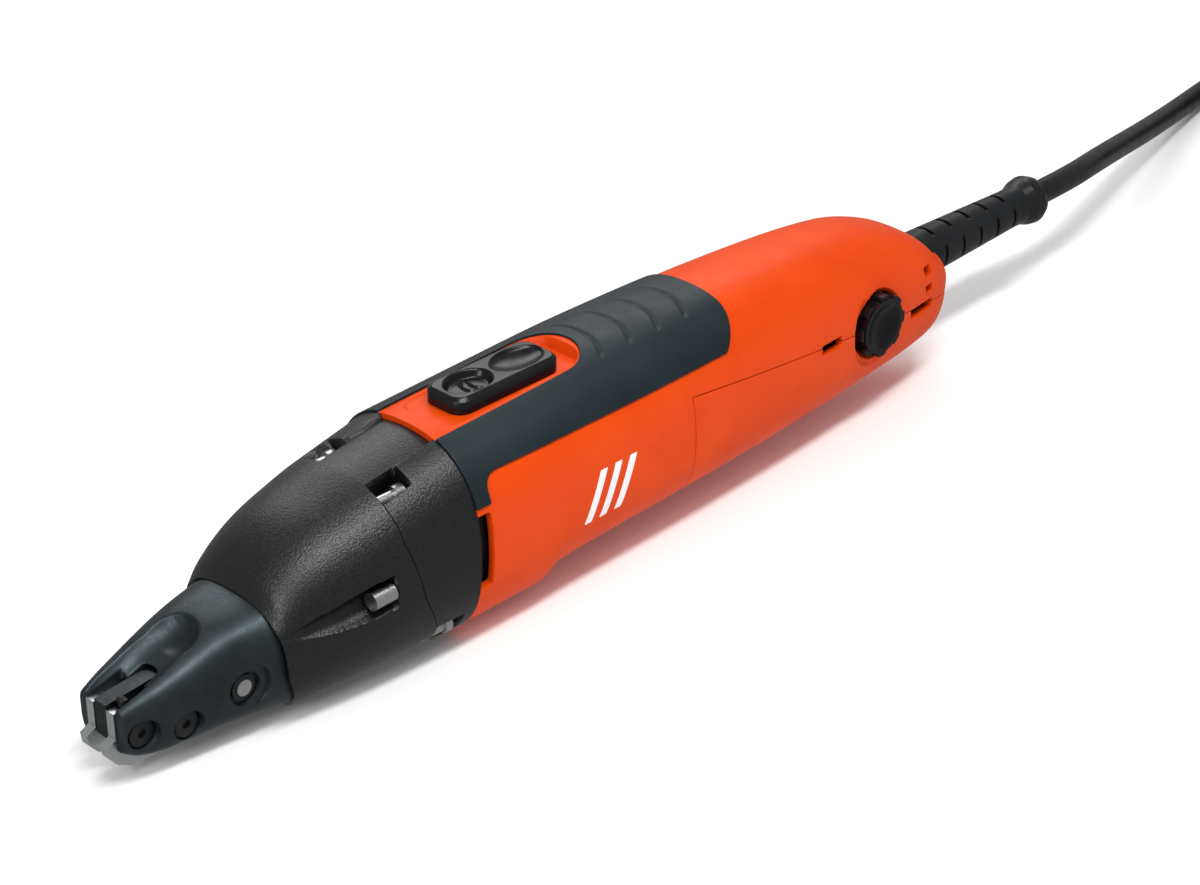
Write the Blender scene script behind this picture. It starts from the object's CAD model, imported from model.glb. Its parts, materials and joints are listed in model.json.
import json
import math

import bmesh
import bpy
import numpy as np
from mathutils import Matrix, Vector


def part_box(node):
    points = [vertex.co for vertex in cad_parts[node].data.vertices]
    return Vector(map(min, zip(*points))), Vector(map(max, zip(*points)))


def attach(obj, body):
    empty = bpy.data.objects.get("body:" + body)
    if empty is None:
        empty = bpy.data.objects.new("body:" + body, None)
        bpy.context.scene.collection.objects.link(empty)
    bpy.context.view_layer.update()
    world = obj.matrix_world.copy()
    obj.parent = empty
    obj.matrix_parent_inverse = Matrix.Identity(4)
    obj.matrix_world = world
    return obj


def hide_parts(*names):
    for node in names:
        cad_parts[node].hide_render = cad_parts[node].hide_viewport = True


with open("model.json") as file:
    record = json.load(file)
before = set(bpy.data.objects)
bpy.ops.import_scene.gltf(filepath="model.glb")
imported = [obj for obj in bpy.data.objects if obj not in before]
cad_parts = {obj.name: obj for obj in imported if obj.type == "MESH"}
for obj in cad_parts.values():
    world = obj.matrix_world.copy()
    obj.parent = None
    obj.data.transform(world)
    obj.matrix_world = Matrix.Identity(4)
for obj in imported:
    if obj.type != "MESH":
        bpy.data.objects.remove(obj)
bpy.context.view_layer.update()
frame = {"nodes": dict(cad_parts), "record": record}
scene = bpy.context.scene
nodes = frame["nodes"]

# ---- the tool's own axes ----
# Drawn in millimetres about the motor's axis: X to the rear, Z up, the dial on the -Y side.
MM = 0.001
STACK_MIDDLE = 55.0
core_low, core_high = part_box("armature_core")
ORIGIN = [(a + b) / 2 for a, b in zip(core_low, core_high)]
ORIGIN[0] -= STACK_MIDDLE * MM


def place(points):
    """Millimetres about the motor's axis to metres in the shared frame."""
    return np.asarray(points, dtype=float) * MM + np.array(ORIGIN)


def spot(x, y, z):
    return tuple(float(v) for v in place((x, y, z)))


# ---- driving dimensions, mm ----
FOOT_Z = -ORIGIN[2] / MM
RING_REAR = -14.0
HOUSING_REAR = 207.0
CORD_D = 8.4
CORD_REST = FOOT_Z + CORD_D / 2
SLEEVE_Z = 4.0
SLEEVE_END = 271.0
HANK_CENTRE = (567.3, 11.1)
HANK_RUN = 84.0
DIAL = (162.4, 3.6)
DIAL_R = 10.4
TRAY_Z = 29.8
COVER_TOP = (72.0, 14.8)
COVER_SLOPE = -0.122

# Stations: x, half width, top, bottom, squareness, height of the widest line.
HEAD = [
    (-120.5, 9.3, -6.6, -20.6, 4.0, -12.5),
    (-116.0, 10.6, -4.9, -23.4, 4.0, -12.5),
    (-110.0, 12.2, -3.0, -24.6, 3.8, -12.5),
    (-100.0, 14.2, 0.6, -25.2, 3.4, -11.5),
    (-92.0, 15.6, 3.4, -25.8, 3.1, -10.5),
    (-86.0, 16.6, 4.8, -26.4, 3.0, -10.0),
    (-78.0, 18.0, 5.8, -27.8, 2.9, -9.0),
    (-70.0, 19.2, 6.2, -29.0, 2.9, -8.0),
]
FRONT = [
    (-88.0, 16.0, 0.0, -25.2, 2.6, -9.0),
    (-78.0, 19.6, 5.0, -28.4, 2.6, -7.5),
    (-74.0, 21.2, 11.0, -29.6, 2.5, -6.5),
    (-68.0, 22.8, 16.4, -30.4, 2.4, -5.0),
    (-60.0, 24.9, 20.4, -30.9, 2.3, -3.0),
    (-48.0, 26.9, 23.8, -31.0, 2.3, -1.5),
    (-38.0, 27.9, 26.4, -31.0, 2.3, -0.5),
    (RING_REAR, 28.8, 31.0, -30.8, 2.45, 0.0),
]
BODY = [
    (RING_REAR, 28.8, 31.0, -30.8, 2.45, 0.0),
    (14.0, 29.0, 31.9, -30.6, 2.45, 0.0),
    (21.0, 28.9, 32.2, -26.0, 2.45, 0.0),
    (60.0, 28.5, 33.4, -24.6, 2.45, 0.0),
    (100.0, 27.2, 32.9, -23.9, 2.5, 0.0),
    (140.0, 25.0, 31.4, -23.0, 2.5, 0.0),
    (168.0, 22.4, 28.8, -22.2, 2.5, 0.0),
    (186.0, 20.7, 23.4, -21.2, 2.5, 0.0),
    (198.0, 18.8, 16.8, -19.6, 2.5, 0.0),
    (203.0, 16.8, 12.4, -17.8, 2.4, 0.0),
    (HOUSING_REAR, 12.6, 8.2, -14.0, 2.3, -1.0),
]
RING_SEAM = [(-38.0, 60.0), (-38.0, 13.0), (-34.0, -4.0), (-27.5, -18.0), (-23.5, -60.0)]
HEAD_SEAM = [(-75.5, 60.0), (-77.3, 2.0), (-75.6, -14.0), (-70.5, -28.0), (-66.0, -60.0)]


# ---- smooth skins ----
def smooth_curve(xs, ys):
    """Cubic through the points that never overshoots them."""
    xs = np.array(xs, float)
    ys = np.array(ys, float)
    step = np.diff(xs)
    slope = np.diff(ys) / step
    tangent = np.zeros(len(xs))
    tangent[0] = slope[0]
    tangent[-1] = slope[-1]
    for i in range(1, len(xs) - 1):
        a, b = slope[i - 1], slope[i]
        if a * b > 0:
            before, after = 2 * step[i] + step[i - 1], step[i] + 2 * step[i - 1]
            tangent[i] = (before + after) / (before / a + after / b)

    def value(x):
        x = np.clip(x, xs[0], xs[-1])
        i = np.clip(np.searchsorted(xs, x) - 1, 0, len(step) - 1)
        t = (x - xs[i]) / step[i]
        near = (1 + 2 * t) * (1 - t) ** 2 * ys[i] + t * (1 - t) ** 2 * step[i] * tangent[i]
        far = t * t * (3 - 2 * t) * ys[i + 1] + t * t * (t - 1) * step[i] * tangent[i + 1]
        return near + far

    return value


class Skin:
    """Closed tube through stations: share 0 is the belly line, 0.25 the -Y side, 0.5 the top."""

    ANGLES = 721
    SHARES = 721
    STEP = 0.4
    REACH_X = 0.8
    REACH_SHARE = 0.004

    def __init__(self, stations, grow=0.0):
        columns = list(zip(*stations))
        curves = [smooth_curve(columns[0], column) for column in columns[1:]]
        self.xs = np.arange(columns[0][0], columns[0][-1] + self.STEP / 2, self.STEP)
        self.xs[-1] = columns[0][-1]
        wide, top, bottom, power, waist = [curve(self.xs)[:, None] for curve in curves]
        angle = -np.pi / 2 - np.linspace(0, 2 * np.pi, self.ANGLES)[None, :]
        c, s = np.cos(angle), np.sin(angle)
        y = (wide + grow) * np.sign(c) * np.abs(c) ** (2 / power)
        reach = np.where(s > 0, top + grow - waist, waist - bottom + grow)
        z = waist + reach * np.sign(s) * np.abs(s) ** (2 / power)
        run = np.hypot(np.diff(y, axis=1), np.diff(z, axis=1)).cumsum(axis=1)
        share = np.hstack([np.zeros((len(self.xs), 1)), run]) / run[:, -1:]
        self.shares = np.linspace(0, 1, self.SHARES)
        self.y = np.array([np.interp(self.shares, s, row) for s, row in zip(share, y)])
        self.z = np.array([np.interp(self.shares, s, row) for s, row in zip(share, z)])

    def at(self, x, share):
        """Points on the skin, with shares that wrap round."""
        share = share - np.floor(share)
        i = (np.clip(x, self.xs[0], self.xs[-1]) - self.xs[0]) / self.STEP
        i0 = np.clip(i.astype(int), 0, len(self.xs) - 2)
        j = share * (self.SHARES - 1)
        j0 = np.clip(j.astype(int), 0, self.SHARES - 2)
        u, v = i - i0, j - j0

        def mix(grid):
            low = grid[i0, j0] * (1 - v) + grid[i0, j0 + 1] * v
            high = grid[i0 + 1, j0] * (1 - v) + grid[i0 + 1, j0 + 1] * v
            return low * (1 - u) + high * u

        return np.stack([x, mix(self.y), mix(self.z)], axis=-1)

    def normal(self, x, share):
        """Outward unit normals, from the points a short reach away on either side."""
        dx = self.at(x + self.REACH_X, share) - self.at(x - self.REACH_X, share)
        ds = self.at(x, share + self.REACH_SHARE) - self.at(x, share - self.REACH_SHARE)
        n = np.cross(ds, dx)
        length = np.linalg.norm(n, axis=-1, keepdims=True)
        return -n / np.maximum(length, 1e-9)

    def share_at(self, x, z):
        """Share on the -Y side where the skin has height z."""
        half = self.SHARES // 2
        rows = np.round((np.asarray(x, float) - self.xs[0]) / self.STEP)
        rows = np.clip(rows, 0, len(self.xs) - 1).astype(int)
        z = np.broadcast_to(z, rows.shape)
        found = [np.interp(h, self.z[r, : half + 1], self.shares[: half + 1])
                 for r, h in zip(rows.ravel(), z.ravel())]
        return np.array(found).reshape(rows.shape)


def seam(points):
    """x of a joint line at height z."""
    heights = [z for _, z in points][::-1]
    places = [x for x, _ in points][::-1]
    return lambda z: np.interp(z, heights, places)


def constant(value):
    """The same value everywhere."""
    return lambda z: np.full_like(z, value)


ALL_ROUND = (constant(0.0), constant(1.0))


def new_object(name, vertices, faces):
    """Mesh object from points in mm about the motor's axis."""
    mesh = bpy.data.meshes.new(name)
    mesh.from_pydata([tuple(p) for p in place(vertices)], [], faces)
    mesh.validate()
    piece = bpy.data.objects.new(name, mesh)
    scene.collection.objects.link(piece)
    return piece


def shade_smooth(piece, degrees=40.0):
    piece.data.shade_smooth()
    piece.data.set_sharp_from_angle(angle=math.radians(degrees))


def thicken(piece, wall, edge, segments=3):
    """Gives a sheet its wall, inwards, and rounds its edges."""
    solid = piece.modifiers.new("wall", "SOLIDIFY")
    solid.thickness = wall * MM
    solid.offset = -1
    soften(piece, edge, segments)


def soften(piece, edge, segments=2, degrees=35.0):
    """Rounds the sharp edges of a piece."""
    bevel = piece.modifiers.new("edges", "BEVEL")
    bevel.width = edge * MM
    bevel.segments = segments
    bevel.limit_method = "ANGLE"
    bevel.angle_limit = math.radians(degrees)
    bevel.harden_normals = False
    piece.data.shade_smooth()


SEAM_PASSES = 5
GIRTH_POINTS = 181


def patch(name, skin, x_from, x_to, s_from, s_to, cell, height=None, hole=None):
    """Sheet on a skin between two joint lines and two shares, with relief and snapped holes.

    x_from and x_to are functions of z, s_from and s_to of x, height of the points in mm.
    hole is a signed distance in mm, negative where there is no material.
    """
    length = float(np.max(x_to(np.zeros(1))) - np.min(x_from(np.zeros(1))))
    rows = max(4, int(abs(length) / cell))
    middle = np.array([(skin.xs[0] + skin.xs[-1]) / 2])
    belt = skin.at(np.full(GIRTH_POINTS, middle[0]), np.linspace(0, 1, GIRTH_POINTS))
    girth = np.linalg.norm(np.diff(belt, axis=0), axis=-1).sum()
    span = float((s_to(middle) - s_from(middle))[0])
    cols = max(6, int(girth * span / cell))
    t = np.linspace(0, 1, rows + 1)[:, None] * np.ones((1, cols + 1))
    u = np.linspace(0, 1, cols + 1)[None, :] * np.ones((rows + 1, 1))
    x = x_from(np.zeros_like(t)) * (1 - t) + x_to(np.zeros_like(t)) * t
    for _ in range(SEAM_PASSES):
        share = s_from(x) + (s_to(x) - s_from(x)) * u
        z = skin.at(x, share)[..., 2]
        x = x_from(z) * (1 - t) + x_to(z) * t
    share = s_from(x) + (s_to(x) - s_from(x)) * u
    distance = np.ones_like(x)
    if hole is not None:
        x, share, distance = snapped(skin, hole, x, share, t, cell, girth)
    vertices, faces = clipped(x, share, distance)
    flat = skin.at(*vertices)
    if height is not None:
        flat = flat + skin.normal(*vertices) * height(flat)[..., None]
    flat[..., 2] = np.maximum(flat[..., 2], FOOT_Z)
    piece = new_object(name, flat, faces)
    clean(piece, abs(span - 1.0) < 1e-6)
    return piece


SNAP_STEP = 0.05
SNAP_REACH = 0.3
LEAST_SLOPE = 0.25


def snapped(skin, hole, x, share, t, cell, girth):
    """Moves the points nearest a hole's edge onto it, and gives every point's distance."""
    d = hole(skin.at(x, share))
    dx = (hole(skin.at(x + SNAP_STEP, share)) - d) / SNAP_STEP
    ds = (hole(skin.at(x, share + SNAP_STEP / girth)) - d) / SNAP_STEP
    size = np.maximum(dx * dx + ds * ds, LEAST_SLOPE)
    near = (np.abs(d) < SNAP_REACH * cell) & (t > 0) & (t < 1)
    moved_x = np.where(near, x - d * dx / size, x)
    moved_share = np.where(near, share - d * ds / size / girth, share)
    return moved_x, moved_share, np.where(near, 0.0, d)


def clipped(x, share, distance):
    """Points (x, share) and faces of the grid's part with a distance of 0 or more."""
    rows, cols = x.shape
    flat_d = distance.ravel()
    points = [list(x.ravel()), list(share.ravel())]
    cuts = {}

    def cut(a, b):
        """Point on the edge between two corners where the distance is 0."""
        key = (min(a, b), max(a, b))
        if key not in cuts:
            low, high = key
            w = flat_d[low] / (flat_d[low] - flat_d[high])
            cuts[key] = len(points[0])
            for column in points:
                column.append(column[low] * (1 - w) + column[high] * w)
        return cuts[key]

    corner = (np.arange(rows - 1)[:, None] * cols + np.arange(cols - 1)[None, :]).ravel()
    faces = []
    for a in corner.tolist():
        ring = (a, a + cols, a + cols + 1, a + 1)
        values = [flat_d[k] for k in ring]
        if min(values) >= 0:
            if max(values) > 0:
                faces.append(ring)
            continue
        if max(values) <= 0:
            continue
        face = []
        for k, after in zip(ring, ring[1:] + ring[:1]):
            if flat_d[k] >= 0:
                face.append(k)
            if flat_d[k] * flat_d[after] < 0:
                face.append(cut(k, after))
        if len(face) > 2:
            faces.append(tuple(face))
    return tuple(np.array(column) for column in points), faces


def clean(piece, weld=True):
    """Drops loose points and welds a closed seam."""
    b = bmesh.new()
    b.from_mesh(piece.data)
    loose = [v for v in b.verts if not v.link_faces]
    bmesh.ops.delete(b, geom=loose, context="VERTS")
    if weld:
        bmesh.ops.remove_doubles(b, verts=b.verts, dist=0.01 * MM)
    b.to_mesh(piece.data)
    b.free()


def ramp(distance, width):
    """0 below -width, 1 above +width, smooth between."""
    t = np.clip((distance + width) / (2 * width), 0, 1)
    return t * t * (3 - 2 * t)


def rounded_rect(u, v, half_u, half_v, radius):
    """Signed distance to a rounded rectangle, negative inside."""
    a = np.abs(u) - half_u + radius
    b = np.abs(v) - half_v + radius
    outside = np.hypot(np.maximum(a, 0), np.maximum(b, 0))
    return outside + np.minimum(np.maximum(a, b), 0) - radius


PAD_PROUD = 0.7
skin_body = Skin(BODY)
skin_pad = Skin(BODY, PAD_PROUD)
skin_front = Skin(FRONT)
skin_head = Skin(HEAD)


# ---- materials ----
def material(name):
    """New node material with its principled shader, and the tree to work in."""
    m = bpy.data.materials.new(name)
    m.use_nodes = True
    tree = m.node_tree
    return m, tree, tree.nodes["Principled BSDF"]


def add(tree, kind, **values):
    node = tree.nodes.new(kind)
    for key, value in values.items():
        if hasattr(node, key):
            setattr(node, key, value)
        else:
            node.inputs[key].default_value = value
    return node


def grain(tree, scale, detail=3.0, roughness=0.55, stretch=(1, 1, 1)):
    """Noise in the object's own coordinates; scale counts blobs per metre."""
    coordinates = add(tree, "ShaderNodeTexCoord")
    mapping = add(tree, "ShaderNodeMapping")
    mapping.inputs["Scale"].default_value = stretch
    noise = add(tree, "ShaderNodeTexNoise", Scale=scale, Detail=detail, Roughness=roughness)
    tree.links.new(coordinates.outputs["Object"], mapping.inputs["Vector"])
    tree.links.new(mapping.outputs["Vector"], noise.inputs["Vector"])
    return noise.outputs["Fac"]


def spread(tree, value, low, high):
    """Maps a noise value onto a range."""
    r = add(tree, "ShaderNodeMapRange")
    r.inputs["From Min"].default_value = 0.3
    r.inputs["From Max"].default_value = 0.7
    r.inputs["To Min"].default_value = low
    r.inputs["To Max"].default_value = high
    tree.links.new(value, r.inputs["Value"])
    return r.outputs["Result"]


def tint(tree, value, dark, light):
    """Colour that wanders between two shades."""
    mix = add(tree, "ShaderNodeMix", data_type="RGBA")
    mix.inputs[6].default_value = (*dark, 1)
    mix.inputs[7].default_value = (*light, 1)
    tree.links.new(value, mix.inputs[0])
    return mix.outputs[2]


def bumps(tree, shader, layers):
    """Stacks noise layers, each (value, strength, distance in mm), into the shader's normal."""
    last = None
    for value, strength, distance in layers:
        bump = add(tree, "ShaderNodeBump")
        bump.inputs["Strength"].default_value = strength
        bump.inputs["Distance"].default_value = distance * MM
        tree.links.new(value, bump.inputs["Height"])
        if last is not None:
            tree.links.new(last.outputs["Normal"], bump.inputs["Normal"])
        last = bump
    tree.links.new(last.outputs["Normal"], shader.inputs["Normal"])


def moulded(name, dark, light, rough, pebble, depth, specular=0.5):
    """Moulded plastic or rubber: pebbled, with slow changes of shade and gloss."""
    m, tree, shader = material(name)
    slow = grain(tree, 45.0, 2.0)
    fine = grain(tree, pebble, 2.0, 0.5)
    colour = tint(tree, spread(tree, slow, 0.0, 1.0), dark, light)
    tree.links.new(colour, shader.inputs["Base Color"])
    tree.links.new(spread(tree, grain(tree, 160.0), *rough), shader.inputs["Roughness"])
    shader.inputs["Specular IOR Level"].default_value = specular
    bumps(tree, shader, [(fine, 0.35, depth)])
    return m


def metal(name, dark, light, rough, scratch=(1, 1, 1), scale=900.0, depth=0.03, metallic=1.0):
    """Metal with a brushed or cast surface; scratch stretches its marks."""
    m, tree, shader = material(name)
    marks = grain(tree, scale, 4.0, 0.6, scratch)
    stain = grain(tree, 70.0, 3.0)
    colour = tint(tree, spread(tree, stain, 0.0, 1.0), dark, light)
    tree.links.new(colour, shader.inputs["Base Color"])
    tree.links.new(spread(tree, marks, *rough), shader.inputs["Roughness"])
    shader.inputs["Metallic"].default_value = metallic
    bumps(tree, shader, [(marks, 0.25, depth)])
    return m


ORANGE = moulded("orange_shell", (0.66, 0.050, 0.001), (0.72, 0.062, 0.002),
                 (0.38, 0.48), 3600.0, 0.018, 0.14)
RUBBER = moulded("grip_rubber", (0.006, 0.012, 0.016), (0.010, 0.018, 0.022),
                 (0.42, 0.52), 4200.0, 0.03, 0.28)
BLACK = moulded("black_plastic", (0.003, 0.003, 0.004), (0.006, 0.006, 0.007),
                (0.22, 0.32), 3000.0, 0.006, 0.3)
SHEATH = moulded("cord_rubber", (0.004, 0.005, 0.006), (0.008, 0.009, 0.010),
                 (0.3, 0.42), 2200.0, 0.03, 0.3)
PLUG = moulded("plug_rubber", (0.010, 0.011, 0.012), (0.017, 0.018, 0.020),
               (0.38, 0.5), 2600.0, 0.03)
WHITE = moulded("white_print", (0.80, 0.80, 0.80), (0.88, 0.88, 0.87),
                (0.4, 0.55), 2600.0, 0.01)
INNER = moulded("inner_plastic", (0.02, 0.02, 0.02), (0.04, 0.04, 0.04),
                (0.5, 0.6), 2600.0, 0.03)
BOARD = moulded("circuit_board", (0.01, 0.07, 0.02), (0.02, 0.12, 0.04),
                (0.3, 0.5), 1500.0, 0.02)
CARBON = moulded("carbon", (0.01, 0.01, 0.01), (0.03, 0.03, 0.03), (0.6, 0.8), 2500.0, 0.03)
STRAP = moulded("tie_fabric", (0.01, 0.01, 0.011), (0.03, 0.03, 0.03), (0.8, 0.95), 900.0, 0.2)
FORGED = metal("forged_steel", (0.028, 0.036, 0.040), (0.052, 0.064, 0.070), (0.36, 0.5),
               depth=0.05, metallic=0.85)
BLADE = metal("blade_steel", (0.50, 0.52, 0.53), (0.66, 0.68, 0.69), (0.24, 0.38),
              (1, 1, 12), 500.0)
DARK_BLADE = metal("dark_blade_steel", (0.02, 0.024, 0.026), (0.05, 0.055, 0.06), (0.3, 0.44),
                   (1, 1, 10), 500.0)
SCREW = metal("zinc_steel", (0.42, 0.43, 0.43), (0.62, 0.62, 0.61), (0.22, 0.34),
              scale=1500.0, depth=0.006)
DARK_SCREW = metal("black_screw", (0.012, 0.013, 0.014), (0.026, 0.027, 0.03), (0.28, 0.42),
                   scale=1500.0, metallic=0.6)
GROUND = metal("bearing_steel", (0.45, 0.46, 0.47), (0.62, 0.63, 0.64), (0.2, 0.34),
               (8, 1, 1), 600.0)
LAMINATED = metal("lamination", (0.12, 0.12, 0.13), (0.2, 0.2, 0.21), (0.35, 0.5),
                  (60, 1, 1), 60.0)
COPPER = metal("copper", (0.5, 0.16, 0.06), (0.66, 0.24, 0.10), (0.25, 0.4), (1, 8, 8), 400.0)
BRASS = metal("brass_parts", (0.5, 0.34, 0.10), (0.66, 0.46, 0.17), (0.25, 0.4))
RAW = metal("raw_aluminium", (0.5, 0.5, 0.5), (0.66, 0.66, 0.66), (0.35, 0.5))
PLATED = metal("plated_brass", (0.66, 0.65, 0.62), (0.8, 0.79, 0.76), (0.12, 0.22))


def textured_casting():
    """Black powder coat with the fine sparkle of its grain."""
    m, tree, shader = material("black_casting")
    fine = grain(tree, 1600.0, 2.0, 0.6)
    coarse = grain(tree, 800.0, 2.0, 0.5)
    colour = tint(tree, spread(tree, fine, 0.0, 1.0), (0.001, 0.001, 0.002), (0.005, 0.006, 0.007))
    tree.links.new(colour, shader.inputs["Base Color"])
    tree.links.new(spread(tree, fine, 0.30, 0.46), shader.inputs["Roughness"])
    shader.inputs["Specular IOR Level"].default_value = 0.55
    bumps(tree, shader, [(coarse, 0.25, 0.12), (fine, 0.8, 0.16)])
    return m


CASTING = textured_casting()

SLOT_MATERIALS = {
    "orange_shell": ORANGE, "grip_rubber": RUBBER, "black_casting": CASTING, "raw_aluminium": RAW,
    "forged_steel": FORGED, "blade_steel": BLADE, "dark_blade_steel": DARK_BLADE,
    "black_screw": DARK_SCREW, "zinc_steel": SCREW, "bearing_steel": GROUND,
    "lamination": LAMINATED, "copper": COPPER, "brass_parts": BRASS, "carbon": CARBON,
    "inner_plastic": INNER,
    "black_plastic": BLACK, "circuit_board": BOARD, "cord_rubber": SHEATH, "tie_fabric": STRAP,
    "plug_rubber": PLUG, "plated_brass": PLATED, "white_print": WHITE,
}


def coat(piece, finish, *others):
    """Gives a piece its materials."""
    piece.data.materials.clear()
    for m in (finish, *others):
        piece.data.materials.append(m)


def stands_for(piece, body, slot, *replaced):
    """Rides the piece on its body, in place of its CAD nodes."""
    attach(piece, body)
    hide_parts(*replaced)
    return piece


# ---- carried-over CAD nodes ----
EDGES = {
    "side_blade_left": 0.15, "side_blade_right": 0.15, "centre_blade": 0.2, "blade_screws": 0.2,
    "pivot_pin": 0.35, "pin_retaining_rings": 0.15, "flange_screws": 0.5,
    "gear_housing_screws": 0.4, "plug_pins": 0.8,
}


def dress_nodes():
    """Every CAD node gets its slot's material, and the edges that show are rounded."""
    for row in frame["record"]["subparts"]:
        coat(nodes[row["node"]], SLOT_MATERIALS[row["material_slot"]])
    for name, edge in EDGES.items():
        soften(nodes[name], edge, 3)


dress_nodes()


def bake(piece):
    """Turns the piece's modifiers into its mesh."""
    graph = bpy.context.evaluated_depsgraph_get()
    mesh = bpy.data.meshes.new_from_object(piece.evaluated_get(graph))
    piece.modifiers.clear()
    piece.data = mesh


def join(piece, other):
    """Makes the two one object, with their modifiers applied."""
    bake(piece)
    bake(other)
    bpy.ops.object.select_all(action="DESELECT")
    other.select_set(True)
    piece.select_set(True)
    bpy.context.view_layer.objects.active = piece
    bpy.ops.object.join()


# ---- outer shells ----
WALL = 2.4
GAP = 0.16
FAR = 9.0


def cover_line(x):
    """Height of the rear cover's upper joint."""
    return COVER_TOP[1] + COVER_SLOPE * (x - COVER_TOP[0])


def cover_front(z):
    """x of the rear cover's front joint."""
    return np.interp(z, [-60.0, -18.5, -12.0, 60.0], [67.6, 70.0, COVER_TOP[0], COVER_TOP[0]])


REAR_SLOTS = [
    (136.7, 6.6, 5.0, 1.7), (186.0, 0.0, 6.2, 1.7), (190.5, 5.3, 2.0, 1.3), (191.0, 10.8, 2.2, 1.5),
]


def rear_slots(p):
    """Signed distance to the air slots, negative inside."""
    x, z = p[..., 0], p[..., 2]
    slots = [rounded_rect(x - a, z - b, c, d, 0.4) for a, b, c, d in REAR_SLOTS]
    return np.where(np.abs(p[..., 1]) > 8.0, np.minimum.reduce(slots), FAR)


def dial_recess(p):
    """Round sink for the dial on the -Y side, with a deeper pocket under the wheel."""
    r = np.hypot(p[..., 0] - DIAL[0], p[..., 2] - DIAL[1])
    side = -p[..., 1]
    ring = np.maximum(side - 21.9, 0) * ramp(DIAL_R + 3.0 - r, 0.5)
    pocket = np.maximum(side - 18.4, 0) * ramp(DIAL_R + 0.8 - r, 0.25)
    return np.where(side > 0, -np.maximum(ring, pocket), 0.0)


def tray_recess(p):
    """Flat-floored tray round the slider."""
    d = -rounded_rect(p[..., 0] - 18.25, p[..., 1], 27.25, 9.7, 6.0)
    depth = np.maximum(p[..., 2] - TRAY_Z, 0) * ramp(d, 0.35)
    return np.where(p[..., 2] > 20.0, -depth, 0.0)


def housing_relief(p):
    return dial_recess(p) + tray_recess(p)


def housing_hole(p):
    """Negative where the motor body has no wall: below the cover's joint, and in the openings."""
    x, y, z = p[..., 0], p[..., 1], p[..., 2]
    cover = np.maximum(cover_front(z) - GAP - x, z - cover_line(x) - GAP)
    side = np.where(np.abs(y) > 20.0, rounded_rect(x - RING_REAR, z - 0.9, 4.6, 11.5, 0.8), FAR)
    link = np.where(z > 20.0, rounded_rect(x - 21.0, y, 11.0, 2.7, 2.7), FAR)
    return np.minimum.reduce([cover, side, link, rear_slots(p)])


def rear_wall(corners=96, inset=0.985):
    """Closed end of the motor body, just inside the shell's rear edge."""
    ring = skin_body.at(np.full(corners, HOUSING_REAR - 0.5), np.arange(corners) / corners)
    ring[:, 1:] *= inset
    piece = new_object("rear_wall", ring, [tuple(range(corners))])
    thicken(piece, WALL, 0.3)
    coat(piece, ORANGE)
    return piece


def air_baffle():
    """Dark rib down the middle of the rear end, so that no light shows through the air slots."""
    side = [(120.0, -14.0), (204.0, -12.0), (204.0, 6.0), (180.0, 20.0), (120.0, 26.0)]
    piece = new_object("air_baffle", [(x, 0.0, z) for x, z in side], [tuple(range(len(side)))])
    thicken(piece, 1.6, 0.2)
    coat(piece, INNER)
    return piece


def make_motor_housing():
    piece = patch("motor_body_shell", skin_body, constant(RING_REAR), constant(HOUSING_REAR),
                  *ALL_ROUND, 0.55, housing_relief,
                  housing_hole)
    thicken(piece, WALL, 0.25)
    coat(piece, ORANGE)
    join(piece, rear_wall())
    join(piece, air_baffle())
    return stands_for(piece, "tool", "orange_shell", "motor_housing")


def cover_share(x):
    """Share of the skin where the rear cover ends on the -Y side."""
    return skin_body.share_at(x, cover_line(x) - GAP)


def make_rear_cover():
    piece = patch("rear_cover_shell", skin_body, lambda z: cover_front(z) + GAP,
                  constant(HOUSING_REAR), lambda x: -cover_share(x), cover_share, 0.6,
                  dial_recess, rear_slots)
    thicken(piece, WALL, 0.25)
    coat(piece, ORANGE)
    return stands_for(piece, "tool", "orange_shell", "rear_cover")


def mark_bars(p):
    """Signed distance of the three slanted bars, positive inside them."""
    x, y, z = p[..., 0], p[..., 1], p[..., 2]
    slant = (z + 7.0) * 0.44
    bars = [rounded_rect(x - slant - a, z - 0.5, 1.4, 7.5, 0.3) for a in (27.1, 33.1, 39.1)]
    return np.where(y < 0, -np.minimum.reduce(bars), -FAR)


def make_side_mark():
    piece = patch("side_mark_print", Skin(BODY, 0.08), constant(22.0), constant(52.0),
                  constant(0.05), constant(0.45), 0.3, None, mark_bars)
    thicken(piece, 0.1, 0.03)
    coat(piece, WHITE)
    return stands_for(piece, "tool", "white_print", "side_mark")


PAD_WALL = PAD_PROUD + 0.3
PAD_REAR = 98.0
GROOVES = 4
GROOVE_DEPTH = 0.55
GROOVE_WIDTH = 0.6


def pad_material(p):
    """Signed distance of the grip pad, positive where there is rubber."""
    x, y, z = p[..., 0], p[..., 1], p[..., 2]
    half = (PAD_REAR - RING_REAR + 40.0) / 2
    whole = -rounded_rect(x - (PAD_REAR - half), y, half, 24.9, 13.0)
    island = rounded_rect(x - 8.0, y, 40.0, 11.7, 11.7)
    arm = np.minimum(z - 14.6, -8.9 - x)
    above = np.minimum(whole, z - 21.8)
    blend = 5.0
    h = np.clip(0.5 + 0.5 * (above - arm) / blend, 0, 1)
    return np.minimum(island, arm * (1 - h) + above * h + blend * h * (1 - h))


def pad_relief(p):
    """Shallow finger grooves across the pad, bowed to the rear."""
    x, y = p[..., 0], p[..., 1]
    depth = np.zeros_like(x)
    for row in range(GROOVES):
        middle = 53.0 + 11.6 * row
        d = np.abs(np.hypot(x - middle + 22.0, y) - 22.0)
        depth += np.where(x > middle - 15.0, np.exp(-((d / GROOVE_WIDTH) ** 2)), 0.0)
    return -GROOVE_DEPTH * depth * ramp(12.6 - np.abs(y), 1.2)


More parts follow.
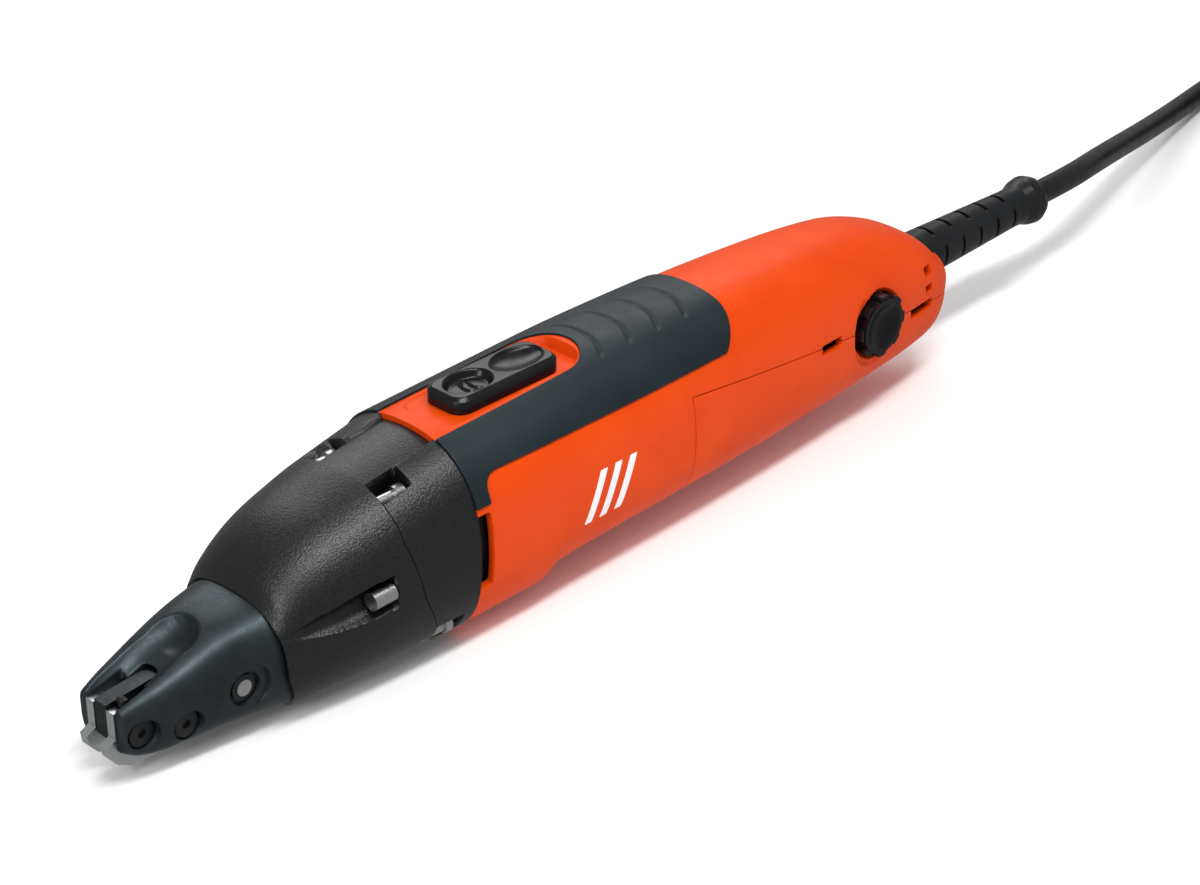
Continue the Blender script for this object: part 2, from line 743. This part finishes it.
def make_grip_pad():
    piece = patch("grip_pad_sheet", skin_pad, constant(RING_REAR - 0.08), constant(PAD_REAR + 1.0),
                  constant(0.27), constant(0.73), 0.5, pad_relief, pad_material)
    thicken(piece, PAD_WALL, 0.4)
    coat(piece, RUBBER)
    return stands_for(piece, "tool", "grip_rubber", "grip_pad")


def flange_relief(p):
    """Recessed top plate and the four screw pockets."""
    x, y, z = p[..., 0], p[..., 1], p[..., 2]
    plate = 25.6 + (x + 39.0) * 4.0 / 26.0 - 0.012 * y ** 2
    top = np.where(z > 10.0, np.minimum(plate - z, 0) * ramp(10.2 - np.abs(y), 0.35), 0.0)
    high = -rounded_rect(x + 33.6, np.abs(y) - 13.3, 5.4, 3.4, 0.6)
    low = -rounded_rect(x + 22.7, z + 20.9, 4.5, 3.3, 0.6)
    top = np.where(z > 10.0, top - (8.3 + top) * ramp(high, 0.3), 0.0)
    return top - np.where((z < 0) & (np.abs(y) > 14.0), 5.0 * ramp(low, 0.35), 0.0)


def make_gear_flange():
    front = seam(RING_SEAM)
    piece = patch("gear_flange_ring", skin_front, lambda z: front(z) + GAP / 2,
                  constant(RING_REAR - GAP), *ALL_ROUND, 0.42, flange_relief)
    thicken(piece, WALL, 0.25)
    coat(piece, CASTING)
    return stands_for(piece, "tool", "black_casting", "gear_flange")


GROOVE_FROM = (-76.5, -0.8)
GROOVE_TO = (-43.4, 2.2)


def housing_groove(p):
    """Teardrop groove down each side, deepest at its squared rear end."""
    x, y, z = p[..., 0], p[..., 1], p[..., 2]
    t = np.clip((x - GROOVE_FROM[0]) / (GROOVE_TO[0] - GROOVE_FROM[0]), 0, 1)
    middle = GROOVE_FROM[1] + (GROOVE_TO[1] - GROOVE_FROM[1]) * t
    half = 0.2 + 4.6 * np.sin(t * np.pi / 2) ** 0.8
    across = np.clip(1 - ((z - middle) / half) ** 2, 0, 1) ** 0.5
    rear = ramp(GROOVE_TO[0] - x, 0.3)
    depth = 5.2 * np.sin(t * np.pi / 2) ** 1.2 * across * rear
    return np.where(np.abs(y) > 12.0, -depth, 0.0)


def make_gear_housing():
    front, rear = seam(HEAD_SEAM), seam(RING_SEAM)
    piece = patch("gear_housing_dome", skin_front, lambda z: front(z) + GAP,
                  lambda z: rear(z) - GAP, *ALL_ROUND, 0.45, housing_groove)
    thicken(piece, WALL, 0.25)
    coat(piece, CASTING)
    return stands_for(piece, "tool", "black_casting", "gear_housing")


make_motor_housing()
make_rear_cover()
make_side_mark()
make_grip_pad()
make_gear_flange()
make_gear_housing()


# ---- cutting head ----
def cap_ends(piece):
    """Closes a tube's open ends."""
    b = bmesh.new()
    b.from_mesh(piece.data)
    bmesh.ops.holes_fill(b, edges=b.edges, sides=0)
    bmesh.ops.triangulate(b, faces=[f for f in b.faces if len(f.verts) > 4])
    bmesh.ops.recalc_face_normals(b, faces=b.faces)
    b.to_mesh(piece.data)
    b.free()


def carve(piece, cutters):
    """Cuts the shapes out of the piece and deletes them."""
    for cutter in cutters:
        cut = piece.modifiers.new("cut", "BOOLEAN")
        cut.operation = "DIFFERENCE"
        cut.solver = "EXACT"
        cut.object = cutter
    bake(piece)
    for cutter in cutters:
        bpy.data.objects.remove(cutter)


def closed_rings(rings):
    """Solid through rings of points, fanned shut at both ends."""
    count = len(rings[0])
    points = [p for ring in rings for p in ring]
    faces = []
    for i in range(len(rings) - 1):
        for j in range(count):
            k = (j + 1) % count
            faces.append((i * count + j, i * count + k, (i + 1) * count + k, (i + 1) * count + j))
    faces.append(tuple(reversed(range(count))))
    faces.append(tuple(range((len(rings) - 1) * count, len(rings) * count)))
    piece = new_object("shape", points, faces)
    cap_ends(piece)
    return piece


def circle(x, y, z, radius, axis, count=64):
    """Ring of points round an axis, 0 for X or 1 for Y."""
    ring = []
    for step in range(count):
        angle = 2 * math.pi * step / count
        c, s = radius * math.cos(angle), radius * math.sin(angle)
        ring.append((x, y + c, z + s) if axis == 0 else (x + c, y, z + s))
    return ring


def drum(radius, x, z, y_from, y_to):
    """Round bar along Y."""
    return closed_rings([circle(x, y_from, z, radius, 1), circle(x, y_to, z, radius, 1)])


def block(x, y, z):
    """Box between two x, two y and two z."""
    corners = [(y[0], z[0]), (y[1], z[0]), (y[1], z[1]), (y[0], z[1])]
    return closed_rings([[(along, *corner) for corner in corners] for along in x])


# Scoop between the prongs: x, height of the round's centre, radius.
SCOOP = [
    (-130.0, -4.0, 7.0), (-120.0, -2.8, 7.6), (-110.0, 1.6, 9.0), (-104.0, 5.2, 10.2),
    (-99.5, 7.4, 10.2),
]
SCOOP_END = 6
PIVOT = (-86.8, -12.4)
BLADE_SCREWS = ((-115.6, -15.0), (-103.4, -17.0))
FORK = 5.65
LEVER_SLOT = 2.9


def scoop_shape():
    """Round bar along the scoop's line, with a domed rear end."""
    curve_z = smooth_curve(*zip(*[(x, z) for x, z, _ in SCOOP]))
    curve_r = smooth_curve(*zip(*[(x, r) for x, _, r in SCOOP]))
    rings = []
    for x in np.arange(SCOOP[0][0], SCOOP[-1][0], 1.0):
        rings.append(circle(x, 0.0, float(curve_z(x)), float(curve_r(x)), 0))
    x, z, r = SCOOP[-1]
    for step in range(SCOOP_END):
        turn = math.pi / 2 * step / SCOOP_END
        rings.append(circle(x + r * math.sin(turn), 0.0, z, r * math.cos(turn), 0))
    return closed_rings(rings)


def make_cutter_head():
    rear = seam(HEAD_SEAM)
    piece = patch("cutter_head_forging", skin_head, constant(HEAD[0][0]), lambda z: rear(z) + 1.2,
                  *ALL_ROUND, 0.6)
    cap_ends(piece)
    carve(piece, [
        scoop_shape(),
        block((-130.0, -109.5), (-FORK, FORK), (-40.0, 20.0)),
        block((-130.0, -96.6), (-FORK, FORK), (-40.0, -8.0)),
        block((-130.0, -96.0), (-LEVER_SLOT, LEVER_SLOT), (-40.0, -5.0)),
        block((-97.0, -60.0), (-LEVER_SLOT, LEVER_SLOT), (-40.0, -3.6)),
    ])
    remesh = piece.modifiers.new("forge", "REMESH")
    remesh.mode = "VOXEL"
    remesh.voxel_size = 0.32 * MM
    melt = piece.modifiers.new("melt", "SMOOTH")
    melt.factor = 0.5
    melt.iterations = 9
    bake(piece)
    recesses = []
    for side in (-1, 1):
        recesses.append(drum(4.9, *PIVOT, side * 14.3, side * 30.0))
        recesses.append(drum(7.3, *PIVOT, side * 16.05, side * 30.0))
        for x, z in BLADE_SCREWS:
            recesses.append(drum(4.4, x, z, side * (8.1 + (x + 115.6) * 0.21), side * 30.0))
    carve(piece, recesses)
    soften(piece, 0.22, 2, 50.0)
    coat(piece, FORGED)
    return stands_for(piece, "tool", "forged_steel", "cutter_head")


make_cutter_head()


# ---- switch slider ----
SLIDER = (18.5, 20.0, 7.8, 4.6)
SLIDER_Z = (TRAY_Z + 0.3, 34.8)


def slider_height(x, y):
    """Top of the slider: bevelled rim, ridged front recess and plain rear recess."""
    middle, half, wide, radius = SLIDER
    inside = -rounded_rect(x - middle, y, half, wide, radius)
    z = SLIDER_Z[1] - 0.85 * np.maximum(1.3 - inside, 0)
    front = np.hypot((x - 9.2) / 7.2, y / 5.3)
    rear = np.hypot((x - 27.8) / 9.0, y / 5.6)
    z -= 2.3 * ramp(1.0 - front, 0.16)
    z -= 1.7 * np.clip(1.0 - rear ** 2, 0, 1) ** 0.8 + 0.45 * ramp(1.0 - rear, 0.06)
    for middle_x in (7.6, 10.4):
        arc = np.hypot(x - middle_x - 3.6, y) - 3.6
        crescent = np.exp(-((arc / 0.4) ** 2)) * ramp(2.7 - np.abs(y), 0.6) * (x < middle_x + 2.0)
        z += 0.75 * crescent
    return z


def make_slider():
    middle, half, wide, radius = SLIDER
    cell = 0.3
    xs = np.arange(middle - half - 1, middle + half + 1, cell)
    ys = np.arange(-wide - 1, wide + 1, cell)
    x, y = [grid.copy() for grid in np.meshgrid(xs, ys, indexing="ij")]
    (x, y), faces = clipped(x, y, -rounded_rect(x - middle, y, half, wide, radius))
    piece = new_object("switch_slider_cap", np.stack([x, y, slider_height(x, y)], axis=-1), faces)
    clean(piece, False)
    b = bmesh.new()
    b.from_mesh(piece.data)
    rim = [e for e in b.edges if e.is_boundary]
    skirt = bmesh.ops.extrude_edge_only(b, edges=rim)
    floor = spot(0, 0, SLIDER_Z[0])[2]
    for v in skirt["geom"]:
        if isinstance(v, bmesh.types.BMVert):
            v.co.z = floor
    bmesh.ops.recalc_face_normals(b, faces=b.faces)
    b.to_mesh(piece.data)
    b.free()
    shade_smooth(piece, 50.0)
    coat(piece, BLACK)
    return stands_for(piece, "slider", "black_plastic", "switch_slider")


make_slider()


# ---- cord ----
CORD_ROUTE = [
    (SLEEVE_END, 0.0, SLEEVE_Z),
    (292.0, 0.0, SLEEVE_Z),
    (318.0, 6.4, 0.6),
    (350.0, 17.6, -7.2),
    (386.0, 29.4, -15.4),
    (424.0, 41.2, -22.6),
    (462.0, 50.0, CORD_REST),
    (496.0, 53.4, CORD_REST),
    (525.3, 54.0, CORD_REST),
]
TAIL_ROUTE = [
    (598.0, 56.4, FOOT_Z + 47.7),
    (624.0, 57.4, FOOT_Z + 45.0),
    (652.0, 54.0, FOOT_Z + 30.0),
    (680.0, 48.0, FOOT_Z + 16.0),
    (702.0, 46.0, FOOT_Z + 13.0),
    (716.0, 46.0, FOOT_Z + 13.0),
]
PITCH = 8.7
FOLD_OUT = 42.9
TURNS = 2
LAYERS = 6
RUN_POINTS = 4
FOLD_POINTS = 8


def hank_turn():
    """Points of one turn of the hank, as (place of the fold's centre along the run, angle)."""
    turn = []
    for end in (1, -1):
        quarter = end * math.pi / 2
        for step in range(RUN_POINTS):
            turn.append((end * HANK_RUN * (step / RUN_POINTS - 0.5), quarter))
        for step in range(FOLD_POINTS):
            turn.append((end * HANK_RUN / 2, quarter - math.pi * step / FOLD_POINTS))
    return turn


def hank_points():
    """Flat layers, wound inwards and outwards in turn, each rising onto the one below."""
    turn = hank_turn()
    fold_in = FOLD_OUT - PITCH * TURNS
    rise = RUN_POINTS / len(turn)
    points = []
    for layer in range(LAYERS):
        for step in range(1 if layer == 0 else 0, TURNS * len(turn)):
            done = step / len(turn)
            start = rise if layer else 0.0
            share = max(0.0, done - start) / (TURNS - start)
            share = share if layer % 2 == 0 else 1 - share
            radius = FOLD_OUT + (fold_in - FOLD_OUT) * share
            height = PITCH * (layer - 1 + min(1.0, done / rise)) if layer else 0.0
            along, angle = turn[step % len(turn)]
            points.append((HANK_CENTRE[0] + along + radius * math.cos(angle),
                           HANK_CENTRE[1] + radius * math.sin(angle), CORD_REST + height))
    x, y = HANK_CENTRE
    points.append((x - HANK_RUN / 2, y + FOLD_OUT, CORD_REST + PITCH * (LAYERS - 1)))
    return points


def spline(name, points, radius):
    """Smooth round cord through control points in mm."""
    curve = bpy.data.curves.new(name, "CURVE")
    curve.dimensions = "3D"
    line = curve.splines.new("NURBS")
    line.points.add(len(points) - 1)
    for point, p in zip(line.points, points):
        point.co = (*spot(*p), 1.0)
    line.order_u = 3
    line.use_endpoint_u = True
    curve.resolution_u = 6
    curve.bevel_depth = radius * MM
    curve.bevel_resolution = 8
    curve.use_fill_caps = True
    piece = bpy.data.objects.new(name, curve)
    scene.collection.objects.link(piece)
    return piece


def make_cord():
    piece = spline("supply_cord", CORD_ROUTE + hank_points() + TAIL_ROUTE, CORD_D / 2)
    coat(piece, SHEATH)
    return stands_for(piece, "tool", "cord_rubber", "cord_lead", "cord_coil", "plug_lead")


cord = make_cord()


# ---- stage, light and camera ----
def make_stage():
    bpy.ops.mesh.primitive_plane_add(size=12.0, location=spot(40.0, 0.0, FOOT_Z))
    floor = bpy.context.object
    floor.name = "floor"
    m, tree, shader = material("floor")
    shader.inputs["Base Color"].default_value = (0.95, 0.95, 0.95, 1)
    shader.inputs["Roughness"].default_value = 0.9
    coat(floor, m)
    floor.visible_glossy = False


def area_light(name, place_mm, aim_mm, size, power, mirrored=False):
    """Soft rectangular light aimed at a point; only a mirrored one shows in glossy surfaces."""
    data = bpy.data.lights.new(name, "AREA")
    data.shape = "RECTANGLE"
    data.size, data.size_y = size
    data.energy = power
    lamp = bpy.data.objects.new(name, data)
    lamp.location = spot(*place_mm)
    aim = Vector(spot(*aim_mm)) - lamp.location
    lamp.rotation_euler = aim.to_track_quat("-Z", "Y").to_euler()
    lamp.visible_glossy = mirrored
    scene.collection.objects.link(lamp)


def make_light():
    world = bpy.data.worlds.new("studio")
    scene.world = world
    world.use_nodes = True
    background = world.node_tree.nodes["Background"]
    background.inputs["Color"].default_value = (1, 1, 1, 1)
    background.inputs["Strength"].default_value = 0.34
    area_light("fill_above", (120.0, -60.0, 1100.0), (40.0, 0.0, 0.0), (1.8, 1.4), 2.5)
    area_light("fill_side", (-500.0, -1100.0, 300.0), (20.0, 0.0, 0.0), (1.4, 0.8), 2.0)
    area_light("softbox_left", (-820.0, -240.0, 560.0), (-60.0, 0.0, 0.0), (0.22, 0.4), 3.4, True)
    area_light("softbox_back", (500.0, 620.0, 620.0), (40.0, 0.0, 0.0), (0.9, 0.4), 3.4, True)
    area_light("softbox_top", (-10.0, -340.0, 950.0), (-10.0, 0.0, 0.0), (0.8, 0.13), 7.0, True)


CAMERA_AT = (-452.9, -496.6, 398.4)
CAMERA_BACK = (-0.6261, -0.6046, 0.4924)


def make_camera():
    data = bpy.data.cameras.new("camera")
    data.lens = 84.0
    data.sensor_width = 36.0
    data.clip_start = 0.01
    data.clip_end = 50.0
    camera = bpy.data.objects.new("camera", data)
    camera.location = spot(*CAMERA_AT)
    camera.rotation_euler = (-Vector(CAMERA_BACK)).to_track_quat("-Z", "Y").to_euler()
    scene.collection.objects.link(camera)
    scene.camera = camera


make_stage()
make_light()
make_camera()
scene.view_settings.view_transform = "Standard"
